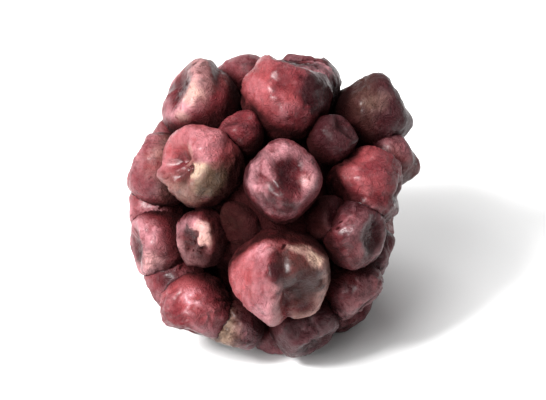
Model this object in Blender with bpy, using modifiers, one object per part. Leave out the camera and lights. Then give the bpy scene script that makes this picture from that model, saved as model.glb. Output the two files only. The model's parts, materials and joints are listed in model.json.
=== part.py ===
"""Freeze-dried bramble fruit: dark drupelets fused on a small core, and the pale receptacle at the stem end.

The fruit lies on its side on a flat surface. +Z is up, the stem end faces +Y, and the origin is on that
surface under the middle of the fruit. Blender units are metres; design sizes are written in millimetres.
"""

import math
import random

import bmesh
import bpy
from mathutils import Matrix, Vector

MM = 0.001

# Outer size of the fruit, as half lengths from its centre; its right side is the narrower
HALF_WIDTH = 8.1 * MM
RIGHT_HALF_WIDTH = 7.2 * MM
HALF_HEIGHT = 7.8 * MM
APEX_LENGTH = 9.2 * MM
STEM_LENGTH = 9.0 * MM
STEM_BLUNTNESS = 2.6
CENTRE_HEIGHT = 7.35 * MM

# The core that joins the drupelets lies this far under their tops
CORE_DEPTH = 3.5 * MM

# The facing side is laid out in a plane that leans back by this angle from the vertical
FACING_LEAN = math.radians(32.0)
FACING_RIGHT = Vector((1.0, 0.0, 0.0))
FACING_UP = Vector((0.0, math.sin(FACING_LEAN), math.cos(FACING_LEAN)))
FACING_AHEAD = Vector((0.0, -math.cos(FACING_LEAN), math.sin(FACING_LEAN)))

# Drupelets of the facing side: across, up and forward of the fruit's centre, radius, and their dent's depth
# and place across and up on them, in radii
FACING_DRUPELETS = (
    (-4.0, 5.6, 0.3, 2.35, 0.32, 0.3, -0.3),
    (0.6, 5.8, 2.1, 2.45, 0.30, 0.4, 0.2),
    (1.1, 6.3, -0.8, 2.20, 0.24, 0.0, 0.2),
    (5.4, 5.0, -0.1, 2.15, 0.36, 0.0, -0.2),
    (6.3, 2.6, 0.0, 1.75, 0.26, 0.1, 0.1),
    (5.0, 0.9, 2.7, 2.15, 0.28, 0.2, -0.4),
    (0.4, 1.2, 5.6, 2.15, 0.34, 0.2, 0.0),
    (-3.9, 2.1, 3.9, 2.25, 0.50, 0.1, -0.4),
    (-6.2, 1.8, 0.8, 2.00, 0.28, -0.2, 0.1),
    (-6.5, -0.2, -0.4, 1.70, 0.26, -0.1, 0.0),
    (-6.3, -2.2, 0.6, 1.95, 0.34, 0.2, 0.2),
    (-3.9, -1.8, 3.7, 1.50, 0.38, 0.3, -0.1),
    (-4.3, -5.7, 2.0, 2.00, 0.28, 0.1, -0.4),
    (-5.4, -4.3, 0.2, 1.90, 0.28, -0.1, 0.1),
    (0.3, -3.8, 4.8, 2.65, 0.34, 0.4, 0.0),
    (4.3, -1.7, 4.1, 1.80, 0.36, 0.0, 0.1),
    (4.9, -2.8, 0.9, 1.80, 0.28, 0.1, 0.0),
    (4.2, -4.5, 2.2, 1.75, 0.32, 0.1, -0.1),
    (1.5, -6.4, 1.7, 1.95, 0.28, 0.1, 0.3),
    (-2.2, -6.5, 1.4, 1.70, 0.28, 0.0, -0.1),
    (-1.7, -1.1, 4.0, 1.25, 0.30, 0.0, 0.0),
    (2.8, -0.8, 4.2, 1.25, 0.30, 0.1, 0.1),
    (3.1, 3.5, 2.9, 1.35, 0.28, 0.0, 0.0),
    (-1.8, 3.8, 3.4, 1.30, 0.30, -0.1, 0.1),
)

# Drupelets of the underside, level with each other: across, back, radius; the surface flattens them
FOOT_DRUPELETS = (
    (-3.6, -0.8, 2.2),
    (3.4, -0.6, 2.2),
    (-0.2, 3.9, 2.2),
    (0.0, 0.5, 1.9),
    (0.1, -2.9, 1.8),
)
FOOT_FLAT_DEPTH = 0.34 * MM
FOOT_DENT = 0.04

# Ring of drupelets round the hollow at the stem end
RING_COUNT = 8
RING_DISTANCE = 4.5 * MM
RING_RADIUS = 1.9 * MM

# Drupelets that fill the hidden sides, no further ahead of the centre than the limit: limits of their radius
# and how deep they sit, first the full ones and then the small ones in the gaps that are left
FILL_ROUNDS = (
    ((1.8 * MM, 2.35 * MM), 0.0),
    ((1.2 * MM, 1.5 * MM), 0.9 * MM),
)
FILL_PITCH = 0.72
FILL_DIRECTIONS = 900
FILL_LIMIT = 0.0 * MM
FILL_SEED = 11

# Sides and rings of a drupelet's mesh, and of one under the small radius
DRUPELET_FACETS = (12, 9)
SMALL_FACETS = (9, 7)
SMALL_RADIUS = 1.6 * MM
CORE_SUBDIVISIONS = 3

# Form of one drupelet, in radii; the rim's place and width are in widths of the dent
STRETCH = 0.07
RISE = (0.97, 1.07)
DENT_DEPTHS = (0.26, 0.44)
DENT_OFFSET = 0.45
DENT_WIDTHS = (0.50, 0.70)
RIM_HEIGHT = 0.18
RIM_PLACE = 1.8
RIM_WIDTH = 0.6
LOBE_COUNTS = (3, 4, 5)
LOBE_HEIGHTS = (0.02, 0.05)
FORM_SEED = 5
DRUPELET_UPRIGHT = Vector((0.0, 0.3, 1.0))

# Receptacle: a turned plug, by distance from its axis and height over its seat, in millimetres
RECEPTACLE_PROFILE = (
    (0.0, 3.35),
    (0.55, 3.45),
    (1.0, 3.95),
    (1.45, 4.0),
    (1.8, 3.6),
    (2.0, 2.9),
    (1.85, 1.5),
    (1.4, 0.35),
    (0.0, 0.0),
)
RECEPTACLE_SEAT = 2.4 * MM
RECEPTACLE_SIDES = 24

# The pocket in the core that the receptacle sits in, clear of it, from its mouth to its floor, in millimetres
POCKET_PROFILE = (
    (0.0, 6.0),
    (3.0, 6.0),
    (2.4, 2.9),
    (1.75, -0.35),
    (0.0, -0.7),
)

# Side of the cube that trims the underside
CUTTER_SIZE = 40.0 * MM

# Base colours and roughness
SKIN_COLOUR = (0.10, 0.018, 0.030)
SKIN_ROUGHNESS = 0.55
PITH_COLOUR = (0.62, 0.42, 0.20)
PITH_ROUGHNESS = 0.85


def clear_scene():
    """Remove every object, so that the script gives the same fruit in any file."""
    for item in list(bpy.data.objects):
        bpy.data.objects.remove(item, do_unlink=True)


def make_collection(name):
    """A new collection, linked to the scene."""
    collection = bpy.data.collections.new(name)
    bpy.context.scene.collection.children.link(collection)
    return collection


def make_material(name, colour, roughness):
    """A plain Principled material."""
    material = bpy.data.materials.new(name)
    material.use_nodes = True
    shader = material.node_tree.nodes["Principled BSDF"]
    shader.inputs["Base Color"].default_value = (*colour, 1.0)
    shader.inputs["Roughness"].default_value = roughness
    shader.inputs["Metallic"].default_value = 0.0
    return material


def add_object(name, mesh, collection):
    """A new object for a mesh, in a collection."""
    item = bpy.data.objects.new(name, mesh)
    collection.objects.link(item)
    return item


def mesh_from(bm, name):
    """Turn a bmesh into a mesh and free it."""
    mesh = bpy.data.meshes.new(name)
    bm.to_mesh(mesh)
    bm.free()
    return mesh


def seat(direction, depth):
    """Point at a depth under the fruit's outer form, along a direction from its centre."""
    width = (RIGHT_HALF_WIDTH if direction.x > 0.0 else HALF_WIDTH) - depth
    height = HALF_HEIGHT - depth
    length = (STEM_LENGTH if direction.y > 0.0 else APEX_LENGTH) - depth
    power = STEM_BLUNTNESS if direction.y > 0.0 else 2.0
    side = math.hypot(direction.x / width, direction.z / height)
    reach = (side ** power + abs(direction.y / length) ** power) ** (-1.0 / power)
    return direction * reach


def facing_drupelets():
    """Hand-placed drupelets of the facing side, as centre, radius, dent depth and dent place."""
    drupelets = []
    for across, up, ahead, radius, dent, dent_across, dent_up in FACING_DRUPELETS:
        centre = (FACING_RIGHT * across + FACING_UP * up + FACING_AHEAD * ahead) * MM
        drupelets.append((centre, radius * MM, dent, dent_across, dent_up))
    return drupelets


def foot_drupelets():
    """Low drupelets, level with each other, that the fruit rests on."""
    drupelets = []
    for across, back, radius in FOOT_DRUPELETS:
        height = radius * MM - FOOT_FLAT_DEPTH - CENTRE_HEIGHT
        drupelets.append((Vector((across * MM, back * MM, height)), radius * MM, FOOT_DENT, 0.0, 0.0))
    return drupelets


def ring_drupelets():
    """Drupelets round the hollow at the stem end."""
    drupelets = []
    for index in range(RING_COUNT):
        turn = 2.0 * math.pi * (index + 0.5) / RING_COUNT
        across = RING_DISTANCE * math.cos(turn)
        up = RING_DISTANCE * math.sin(turn)
        side = math.hypot(across / (HALF_WIDTH - RING_RADIUS), up / (HALF_HEIGHT - RING_RADIUS))
        back = (STEM_LENGTH - RING_RADIUS) * (1.0 - side ** STEM_BLUNTNESS) ** (1.0 / STEM_BLUNTNESS)
        drupelets.append((Vector((across, back, up)), RING_RADIUS, None, 0.0, 0.0))
    return drupelets


def even_directions(count):
    """Unit vectors spread evenly over a sphere along a golden-angle spiral."""
    golden_angle = math.pi * (3.0 - math.sqrt(5.0))
    directions = []
    for index in range(count):
        height = 1.0 - 2.0 * (index + 0.5) / count
        radius = math.sqrt(1.0 - height * height)
        turn = golden_angle * index
        directions.append(Vector((radius * math.cos(turn), radius * math.sin(turn), height)))
    return directions


def nestled_seat(placed, radius, depth, directions):
    """Centre that a drupelet of this radius takes closest to those already placed, or None."""
    best_gap = math.inf
    best_centre = None
    for direction in directions:
        centre = seat(direction, radius + depth)
        in_hollow = centre.y > 0.0 and math.hypot(centre.x, centre.z) < RING_DISTANCE
        if in_hollow or centre.dot(FACING_AHEAD) > FILL_LIMIT:
            continue
        gap = min((centre - other[0]).length - FILL_PITCH * (radius + other[1]) for other in placed)
        if 0.0 <= gap < best_gap:
            best_gap = gap
            best_centre = centre
    return best_centre


def fill_drupelets(placed):
    """Nestle drupelets of random size, one by one, against those already placed until none fits."""
    draw = random.Random(FILL_SEED)
    directions = even_directions(FILL_DIRECTIONS)
    placed = list(placed)
    added = []
    for radii, depth in FILL_ROUNDS:
        while True:
            radius = draw.uniform(*radii)
            centre = nestled_seat(placed, radius, depth, directions)
            if centre is None:
                break
            drupelet = (centre, radius, None, 0.0, 0.0)
            placed.append(drupelet)
            added.append(drupelet)
    return added


def outward_frame(centre):
    """Rotation whose +Z points out of the fruit at a drupelet, with +Y as near upright as it can be."""
    outward = Vector((centre.x / HALF_WIDTH ** 2, centre.y / APEX_LENGTH ** 2, centre.z / HALF_HEIGHT ** 2))
    outward.normalize()
    across = DRUPELET_UPRIGHT.cross(outward)
    across.normalize()
    upright = outward.cross(across)
    return Matrix((across, upright, outward)).transposed()


def draw_form(draw, dent, dent_across, dent_up):
    """Random form of one drupelet; a dent that is stated by hand keeps its depth and place."""
    turn = draw.uniform(0.0, 2.0 * math.pi)
    offset = draw.uniform(0.0, DENT_OFFSET)
    depth = draw.uniform(*DENT_DEPTHS)
    form = {
        "stretch": 1.0 + draw.uniform(-STRETCH, STRETCH),
        "rise": draw.uniform(*RISE),
        "dent_width": draw.uniform(*DENT_WIDTHS),
        "lobes": draw.choice(LOBE_COUNTS),
        "lobe_height": draw.uniform(*LOBE_HEIGHTS),
        "lobe_turn": draw.uniform(0.0, 2.0 * math.pi),
    }
    if dent is None:
        dent_across = offset * math.cos(turn)
        dent_up = offset * math.sin(turn)
        dent = depth
    form["dent"] = dent
    form["dent_axis"] = Vector((dent_across, dent_up, 1.0)).normalized()
    return form


def skin_point(direction, form):
    """Point of a drupelet's skin, in radii, along a unit direction whose +Z is outward."""
    dent_angle = math.acos(max(-1.0, min(1.0, direction.dot(form["dent_axis"]))))
    dent = math.exp(-((dent_angle / form["dent_width"]) ** 2))
    rim = math.exp(-(((dent_angle / form["dent_width"] - RIM_PLACE) / RIM_WIDTH) ** 2))
    turn = math.atan2(direction.y, direction.x)
    side = 1.0 - direction.z ** 2
    lobe = side * math.cos(form["lobes"] * turn + form["lobe_turn"])
    reach = 1.0 + form["dent"] * (RIM_HEIGHT * rim - dent) + form["lobe_height"] * lobe
    point = direction * reach
    return Vector((point.x * form["stretch"], point.y / form["stretch"], point.z * form["rise"]))


def drupelet_mesh(name, centre, radius, form):
    """One closed drupelet as a dented ball with few sides."""
    bm = bmesh.new()
    sides, rings = DRUPELET_FACETS if radius > SMALL_RADIUS else SMALL_FACETS
    bmesh.ops.create_uvsphere(bm, u_segments=sides, v_segments=rings, radius=1.0)
    to_dent = Vector((0.0, 0.0, 1.0)).rotation_difference(form["dent_axis"])
    rotation = outward_frame(centre)
    for vertex in bm.verts:
        point = skin_point(to_dent @ vertex.co.normalized(), form)
        vertex.co = centre + rotation @ (point * radius)
    return mesh_from(bm, name)


def core_mesh():
    """The small core inside the drupelets."""
    bm = bmesh.new()
    bmesh.ops.create_icosphere(bm, subdivisions=CORE_SUBDIVISIONS, radius=1.0)
    for vertex in bm.verts:
        vertex.co = seat(vertex.co.normalized(), CORE_DEPTH)
    return mesh_from(bm, "core")


def join_repeats(base, repeats):
    """Fuse every object of a collection into the base with one Boolean, apply it and remove them."""
    union = base.modifiers.new("fuse", "BOOLEAN")
    union.operation = "UNION"
    union.operand_type = "COLLECTION"
    union.collection = repeats
    union.solver = "EXACT"
    evaluated = base.evaluated_get(bpy.context.evaluated_depsgraph_get())
    fused = bpy.data.meshes.new_from_object(evaluated)
    base.modifiers.clear()
    base.data = fused
    for item in list(repeats.objects):
        bpy.data.objects.remove(item, do_unlink=True)
    bpy.data.collections.remove(repeats)


def shell_of(seed, unseen):
    """All the faces joined to one face by edges."""
    shell = [seed]
    unseen.discard(seed)
    for face in shell:
        for edge in face.edges:
            for neighbour in edge.link_faces:
                if neighbour in unseen:
                    unseen.discard(neighbour)
                    shell.append(neighbour)
    return shell


def keep_outer_shell(mesh):
    """Keep the largest shell: a hollow that the fusing sealed is filled and a loose scrap is dropped."""
    bm = bmesh.new()
    bm.from_mesh(mesh)
    unseen = set(bm.faces)
    shells = []
    while unseen:
        shells.append(shell_of(next(iter(unseen)), unseen))
    shells.sort(key=len)
    for shell in shells[:-1]:
        bmesh.ops.delete(bm, geom=shell, context="FACES")
    bm.to_mesh(mesh)
    bm.free()


def add_centre(head):
    """Empty at the fruit's centre, placed so that the head's box is centred over the origin."""
    corners = [Vector(corner) for corner in head.bound_box]
    middle = (corners[0] + corners[6]) / 2.0
    centre = add_object("fruit_centre", None, head.users_collection[0])
    centre.location = (-middle.x, -middle.y, CENTRE_HEIGHT)
    return centre


def add_cut(item, cutter):
    """Cut a closed cutter out of an object."""
    cut = item.modifiers.new(cutter.name, "BOOLEAN")
    cut.operation = "DIFFERENCE"
    cut.object = cutter
    cut.solver = "EXACT"


def add_floor_cutter(cutters):
    """The space under the surface that the fruit rests on."""
    bm = bmesh.new()
    bmesh.ops.create_cube(bm, size=CUTTER_SIZE)
    cutter = add_object("floor_cutter", mesh_from(bm, "floor_cutter"), cutters)
    cutter.location = (0.0, 0.0, -CUTTER_SIZE / 2.0)
    return cutter


def add_turned(name, profile, collection):
    """A shape turned round the stem axis from a profile that runs down its outer side."""
    bm = bmesh.new()
    previous = None
    for distance, height in profile:
        vertex = bm.verts.new((distance, 0.0, height))
        if previous is not None:
            bm.edges.new((previous, vertex))
        previous = vertex
    turned = add_object(name, mesh_from(bm, name), collection)
    turned.location = (0.0, RECEPTACLE_SEAT, 0.0)
    turned.rotation_euler = (-math.pi / 2.0, 0.0, 0.0)
    screw = turned.modifiers.new("turn", "SCREW")
    screw.axis = "Z"
    screw.steps = RECEPTACLE_SIDES
    screw.render_steps = RECEPTACLE_SIDES
    screw.use_merge_vertices = True
    screw.merge_threshold = 0.001 * MM
    return turned


def add_receptacle(collection, material):
    """The pale plug of pith in the hollow at the stem end."""
    profile = [(distance * MM, height * MM) for distance, height in RECEPTACLE_PROFILE]
    receptacle = add_turned("receptacle", profile, collection)
    receptacle.data.materials.append(material)
    return receptacle


def add_pocket_cutter(cutters):
    """The hollow that the receptacle sits in, clear of it all round and open at the stem end."""
    profile = [(distance * MM, height * MM) for distance, height in POCKET_PROFILE]
    return add_turned("pocket_cutter", profile, cutters)


def add_head(collection, material, pocket):
    """The dark head: all the drupelets fused with each other and with the core round its pocket."""
    repeats = make_collection("drupelets")
    drupelets = facing_drupelets() + foot_drupelets() + ring_drupelets()
    drupelets += fill_drupelets(drupelets)
    draw = random.Random(FORM_SEED)
    for index, (centre, radius, dent, dent_across, dent_up) in enumerate(drupelets):
        form = draw_form(draw, dent, dent_across, dent_up)
        name = f"drupelet_{index:02d}"
        add_object(name, drupelet_mesh(name, centre, radius, form), repeats)
    head = add_object("drupelet_head", core_mesh(), collection)
    add_cut(head, pocket)
    join_repeats(head, repeats)
    keep_outer_shell(head.data)
    head.data.shade_smooth()
    head.data.materials.clear()
    head.data.materials.append(material)
    return head


def main():
    clear_scene()
    fruit = make_collection("bramble_fruit")
    cutters = make_collection("cutters")
    skin = make_material("drupelet_skin", SKIN_COLOUR, SKIN_ROUGHNESS)
    pith = make_material("receptacle_pith", PITH_COLOUR, PITH_ROUGHNESS)
    pocket = add_pocket_cutter(cutters)
    head = add_head(fruit, skin, pocket)
    centre = add_centre(head)
    for item in (head, add_receptacle(fruit, pith), pocket):
        item.parent = centre
    add_cut(head, add_floor_cutter(cutters))
    for cutter in cutters.objects:
        cutter.hide_render = True
        cutter.display_type = "WIRE"


main()
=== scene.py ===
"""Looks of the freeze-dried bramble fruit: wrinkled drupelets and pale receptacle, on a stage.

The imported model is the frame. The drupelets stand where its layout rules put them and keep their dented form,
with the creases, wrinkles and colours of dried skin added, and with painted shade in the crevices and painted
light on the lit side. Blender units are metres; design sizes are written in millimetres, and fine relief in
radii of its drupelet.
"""

import json
import math
import random

import bmesh
import bpy
from mathutils import Matrix, Vector, noise

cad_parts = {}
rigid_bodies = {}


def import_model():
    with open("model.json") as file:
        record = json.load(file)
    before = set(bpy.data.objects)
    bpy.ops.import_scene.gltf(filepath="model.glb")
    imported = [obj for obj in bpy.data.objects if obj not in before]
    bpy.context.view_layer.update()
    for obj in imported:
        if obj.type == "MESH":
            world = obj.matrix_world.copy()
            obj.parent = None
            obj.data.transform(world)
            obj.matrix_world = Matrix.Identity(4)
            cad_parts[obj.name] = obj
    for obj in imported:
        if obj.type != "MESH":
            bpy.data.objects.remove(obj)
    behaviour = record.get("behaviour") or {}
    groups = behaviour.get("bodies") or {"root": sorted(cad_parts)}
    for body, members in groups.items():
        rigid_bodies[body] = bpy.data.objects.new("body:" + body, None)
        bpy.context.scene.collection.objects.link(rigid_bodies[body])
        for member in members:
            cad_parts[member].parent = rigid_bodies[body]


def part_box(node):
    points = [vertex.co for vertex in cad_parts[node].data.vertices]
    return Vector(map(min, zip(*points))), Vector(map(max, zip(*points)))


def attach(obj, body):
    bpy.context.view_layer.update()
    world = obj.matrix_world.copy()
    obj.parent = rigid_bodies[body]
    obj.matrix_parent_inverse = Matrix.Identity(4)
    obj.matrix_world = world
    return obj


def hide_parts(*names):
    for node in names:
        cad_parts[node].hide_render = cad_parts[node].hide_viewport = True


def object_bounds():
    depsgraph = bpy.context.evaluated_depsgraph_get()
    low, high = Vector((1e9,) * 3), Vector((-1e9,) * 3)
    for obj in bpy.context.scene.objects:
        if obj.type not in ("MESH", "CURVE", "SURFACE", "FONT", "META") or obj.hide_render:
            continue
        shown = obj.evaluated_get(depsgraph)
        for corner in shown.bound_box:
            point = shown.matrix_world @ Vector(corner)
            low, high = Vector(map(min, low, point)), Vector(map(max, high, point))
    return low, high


bl_info = {
    "name": "Freeze-dried Bramble Fruit",
    "version": (1, 0, 0),
    "blender": (4, 5, 0),
    "location": "View3D > Sidebar > Bramble Fruit",
    "description": "Wrinkled drupelets and pale receptacle of one fruit, with a stage for its picture",
    "category": "Add Mesh",
}

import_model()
cad_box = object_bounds()

MM = 0.001
BODY = "root"

# Outer size of the fruit, as half lengths from its centre; its right side is the narrower
HALF_WIDTH = 8.1 * MM
RIGHT_HALF_WIDTH = 7.2 * MM
HALF_HEIGHT = 7.8 * MM
APEX_LENGTH = 9.2 * MM
STEM_LENGTH = 9.0 * MM
STEM_BLUNTNESS = 2.6
APEX_BLUNTNESS = 2.0
CORE_DEPTH = 3.6 * MM

# The facing side is laid out in a plane that leans back by this angle from the vertical
FACING_LEAN = math.radians(32.0)
FACING_RIGHT = Vector((1.0, 0.0, 0.0))
FACING_UP = Vector((0.0, math.sin(FACING_LEAN), math.cos(FACING_LEAN)))
FACING_AHEAD = Vector((0.0, -math.cos(FACING_LEAN), math.sin(FACING_LEAN)))

# Drupelets of the facing side: across, up and forward of the fruit's centre, radius, and their dent's depth
# and place across and up on them, in radii
FACING_DRUPELETS = (
    (-4.0, 5.6, 0.3, 2.35, 0.32, 0.3, -0.3),
    (0.6, 5.8, 2.1, 2.45, 0.30, 0.4, 0.2),
    (1.1, 6.3, -0.8, 2.20, 0.24, 0.0, 0.2),
    (5.4, 5.0, -0.1, 2.15, 0.36, 0.0, -0.2),
    (6.3, 2.6, 0.0, 1.75, 0.26, 0.1, 0.1),
    (5.0, 0.9, 2.7, 2.15, 0.28, 0.2, -0.4),
    (0.4, 1.2, 5.6, 2.15, 0.34, 0.2, 0.0),
    (-3.9, 2.1, 3.9, 2.25, 0.50, 0.1, -0.4),
    (-6.2, 1.8, 0.8, 2.00, 0.28, -0.2, 0.1),
    (-6.5, -0.2, -0.4, 1.70, 0.26, -0.1, 0.0),
    (-6.3, -2.2, 0.6, 1.95, 0.34, 0.2, 0.2),
    (-3.9, -1.8, 3.7, 1.50, 0.38, 0.3, -0.1),
    (-4.3, -5.7, 2.0, 2.00, 0.28, 0.1, -0.4),
    (-5.4, -4.3, 0.2, 1.90, 0.28, -0.1, 0.1),
    (0.3, -3.8, 4.8, 2.65, 0.34, 0.4, 0.0),
    (4.3, -1.7, 4.1, 1.80, 0.36, 0.0, 0.1),
    (4.9, -2.8, 0.9, 1.80, 0.28, 0.1, 0.0),
    (4.2, -4.5, 2.2, 1.75, 0.32, 0.1, -0.1),
    (1.5, -6.4, 1.7, 1.95, 0.28, 0.1, 0.3),
    (-2.2, -6.5, 1.4, 1.70, 0.28, 0.0, -0.1),
    (-1.7, -1.1, 4.0, 1.25, 0.30, 0.0, 0.0),
    (2.8, -0.8, 4.2, 1.25, 0.30, 0.1, 0.1),
    (3.1, 3.5, 2.9, 1.35, 0.28, 0.0, 0.0),
    (-1.8, 3.8, 3.4, 1.30, 0.30, -0.1, 0.1),
)

# Skin of the same drupelets: ripeness from purple-black to red, strength and direction of their redder side
# in degrees from the right, frost, and browning of the side away from the red. On these drupelets the redder
# side lies towards the upper left, where the light falls, and is painted light; the frost of the drupelets on
# the lit left edge is raised as painted light too.
FACING_SKINS = (
    (0.36, 0.05, 225.0, 0.75, 0.15),
    (0.58, 0.40, 170.0, 0.20, 0.00),
    (0.22, 0.00, 0.0, 0.90, 0.05),
    (-0.05, 0.00, 0.0, 0.05, 0.28),
    (0.10, 0.10, 90.0, 0.25, 0.15),
    (0.44, 0.28, 110.0, 0.15, 0.05),
    (0.28, 0.08, 0.0, 0.42, 0.00),
    (0.54, 0.35, 110.0, 0.25, 0.45),
    (0.34, 0.15, 180.0, 0.45, 0.45),
    (0.36, 0.20, 150.0, 0.60, 0.05),
    (0.32, 0.15, 120.0, 0.55, 0.05),
    (0.30, 0.08, 90.0, 0.50, 0.10),
    (0.56, 0.20, 135.0, 0.35, 0.00),
    (0.30, 0.10, 180.0, 0.30, 0.05),
    (0.52, 0.35, 180.0, 0.60, 0.35),
    (0.14, 0.08, 110.0, 0.20, 0.05),
    (0.12, 0.00, 0.0, 0.15, 0.05),
    (0.14, 0.05, 150.0, 0.30, 0.05),
    (0.06, 0.05, 150.0, 0.12, 0.00),
    (0.16, 0.00, 0.0, 0.30, 0.60),
    (0.12, 0.00, 0.0, 0.15, 0.50),
    (0.08, 0.00, 0.0, 0.05, 0.20),
    (0.04, 0.00, 0.0, 0.05, 0.00),
    (0.34, 0.10, 90.0, 0.05, 0.05),
)

# Patches on single drupelets of the facing side: place in the list above, across and up on it and size in
# radii, then what they add to the ripeness, the frost and the browning. Many are painted light: ripeness and
# frost added on a drupelet's lit upper left are painted highlights, and ripeness and frost taken off its shaded
# right are painted shade; the browning they add is the skin's own colour.
FACING_PATCHES = (
    (0, -0.27, 0.22, 0.28, 0.10, 0.65, 0.30),
    (0, -0.45, -0.40, 0.22, 0.05, 0.40, 0.30),
    (0, 0.60, 0.05, 0.30, 0.20, -0.50, -0.40),
    (1, -0.75, 0.10, 0.38, 0.05, 0.45, 0.00),
    (1, 0.75, 0.10, 0.45, -0.55, -0.20, 0.00),
    (1, -0.25, -0.55, 0.30, 0.00, 0.35, 0.00),
    (1, -0.20, 0.45, 0.28, -0.25, -0.10, 0.00),
    (1, 0.15, 0.05, 0.25, 0.20, 0.25, 0.00),
    (3, 0.05, 0.30, 0.30, 0.00, 0.16, 0.25),
    (4, 0.00, 0.20, 0.40, 0.10, 0.25, 0.10),
    (5, -0.40, 0.35, 0.30, 0.20, 0.20, 0.00),
    (5, 0.10, 0.05, 0.40, 0.20, 0.05, 0.00),
    (5, -0.20, -0.80, 0.45, -0.30, 0.25, 0.00),
    (6, -0.70, 0.05, 0.36, 0.05, 0.80, 0.00),
    (6, -0.10, 0.80, 0.40, 0.10, 0.30, 0.00),
    (6, 0.68, 0.05, 0.20, 0.20, 0.90, 0.10),
    (6, 0.10, -0.10, 0.45, -0.10, -0.60, 0.00),
    (7, 0.15, 0.60, 0.42, 0.20, 0.35, -0.60),
    (7, -0.55, 0.30, 0.32, 0.30, 0.35, 0.50),
    (7, -0.25, -0.15, 0.24, 0.00, 0.65, 0.60),
    (7, 0.25, -0.45, 0.40, -0.40, -0.20, 0.50),
    (8, -0.10, 0.20, 0.45, 0.15, 0.25, 0.20),
    (9, -0.25, 0.10, 0.40, 0.10, 0.50, 0.00),
    (10, -0.30, 0.40, 0.30, 0.10, 0.55, 0.00),
    (10, -0.30, -0.45, 0.30, 0.05, 0.50, 0.10),
    (11, 0.05, 0.15, 0.50, 0.15, 1.50, 0.28),
    (12, -0.20, 0.25, 0.32, 0.10, 0.80, 0.00),
    (12, 0.10, -0.40, 0.50, 0.02, -0.05, 0.00),
    (12, -0.55, -0.40, 0.40, -0.15, -0.30, 0.00),
    (14, -0.50, 0.55, 0.35, 0.10, 0.60, 0.00),
    (14, -0.50, -0.45, 0.35, -0.20, 0.10, 0.00),
    (14, 0.36, 0.66, 0.22, 0.10, 1.10, 0.15),
    (14, 0.64, 0.34, 0.18, 0.05, 1.10, 0.30),
    (14, 0.30, 0.00, 0.42, -0.40, -0.80, -0.10),
    (14, 0.60, -0.35, 0.42, -0.30, -0.60, -0.12),
    (14, 0.05, 0.35, 0.24, -0.20, -0.45, 0.00),
    (15, -0.20, 0.25, 0.35, 0.02, 0.18, 0.00),
    (17, -0.20, 0.30, 0.35, 0.05, 0.35, 0.05),
    (18, 0.10, 0.10, 0.35, 0.00, 0.15, 0.00),
    (19, -0.20, -0.30, 0.45, 0.05, 0.25, 0.20),
)

# Folds that single drupelets of the facing side show: their place in the list above, the direction across
# the fold in degrees from the right, and its offset, height and width in radii
FACING_FOLDS = (
    (0, 0.0, 0.45, -0.13, 0.15),
    (1, 60.0, 0.20, -0.06, 0.12),
    (5, 95.0, -0.30, -0.07, 0.12),
    (7, 125.0, 0.36, 0.13, 0.16),
    (11, 147.0, 0.00, 0.16, 0.20),
    (14, 0.0, -0.16, 0.07, 0.14),
    (14, 5.0, 0.06, -0.09, 0.10),
    (20, 35.0, 0.00, 0.34, 0.42),
)

# Drupelets of the underside, level with each other: across, back, radius; the surface flattens them
FOOT_DRUPELETS = (
    (-3.6, -0.8, 2.2),
    (3.4, -0.6, 2.2),
    (-0.2, 3.9, 2.2),
    (0.0, 0.5, 1.9),
    (0.1, -2.9, 1.8),
)
FOOT_FLAT_DEPTH = 0.34 * MM
FOOT_DENT = 0.04

# Ring of drupelets round the hollow at the stem end
RING_COUNT = 8
RING_DISTANCE = 4.5 * MM
RING_RADIUS = 1.9 * MM

# Drupelets that fill the hidden sides, no further ahead of the centre than the limit: limits of their radius
# and how deep they sit, first the full ones and then the small ones in the gaps that are left
FILL_ROUNDS = (
    ((1.8 * MM, 2.35 * MM), 0.0),
    ((1.2 * MM, 1.5 * MM), 0.9 * MM),
)
FILL_PITCH = 0.72
FILL_DIRECTIONS = 900
FILL_LIMIT = 0.0 * MM
FILL_SEED = 11

# Form of one drupelet, in radii; the rim's place and width are in widths of the dent
STRETCH = 0.07
RISE = (0.97, 1.07)
DENT_DEPTHS = (0.26, 0.44)
DENT_OFFSET = 0.45
DENT_WIDTHS = (0.50, 0.70)
RIM_HEIGHT = 0.18
RIM_PLACE = 1.8
RIM_WIDTH = 0.6
LOBE_COUNTS = (3, 4, 5)
LOBE_HEIGHTS = (0.02, 0.05)
FORM_SEED = 5
DRUPELET_UPRIGHT = Vector((0.0, 0.3, 1.0))

# The fine drupelets are this much smaller, because the faceted ones of the frame lie inside their round form
FINE_SHRINK = 0.975

# Seeds of the fine form's random draws and of the noise that bends it, and how far apart its places lie
LOOKS_SEED = 23
NOISE_SEED = 64
NOISE_SPREAD = 50.0

# Flat spots: how many, how low they may lie, how far from the middle, how far round they act, as a cosine,
# and how softly they start
FLAT_SPOTS = (1, 3)
FLAT_LOWEST = -0.1
FLAT_DISTANCES = (0.93, 0.985)
FLAT_SIDE = 0.5
FLAT_SOFTNESS = 0.12

# Crumpled skin: broad swells, large dimples drawn out along a grain, small cells with grit on them, and calm
# parts where dimples and cells are lower
CRUMPLE_SHARES = (0.6, 1.3)
SWELL_SCALE = 2.0
DIMPLE_SCALE = 2.2
DIMPLE_WIDTH = 0.50
DIMPLE_POWER = 1.3
DIMPLE_LEVEL = 0.3
CELL_SCALE = 4.2
CREASE_WIDTH = 0.30
CREASE_POWER = 0.6
CELL_LEVEL = 0.7
GRIT_SCALE = 12.0
GRIT_SHARE = 0.5
WARP_SCALE = 1.6
FOLD_WARP = 0.35
FOLD_STRETCH = 0.5
CALM_SCALE = 1.1
CALM_RANGE = (-0.45, 0.25)
CALM_LEAST = 0.4

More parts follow.
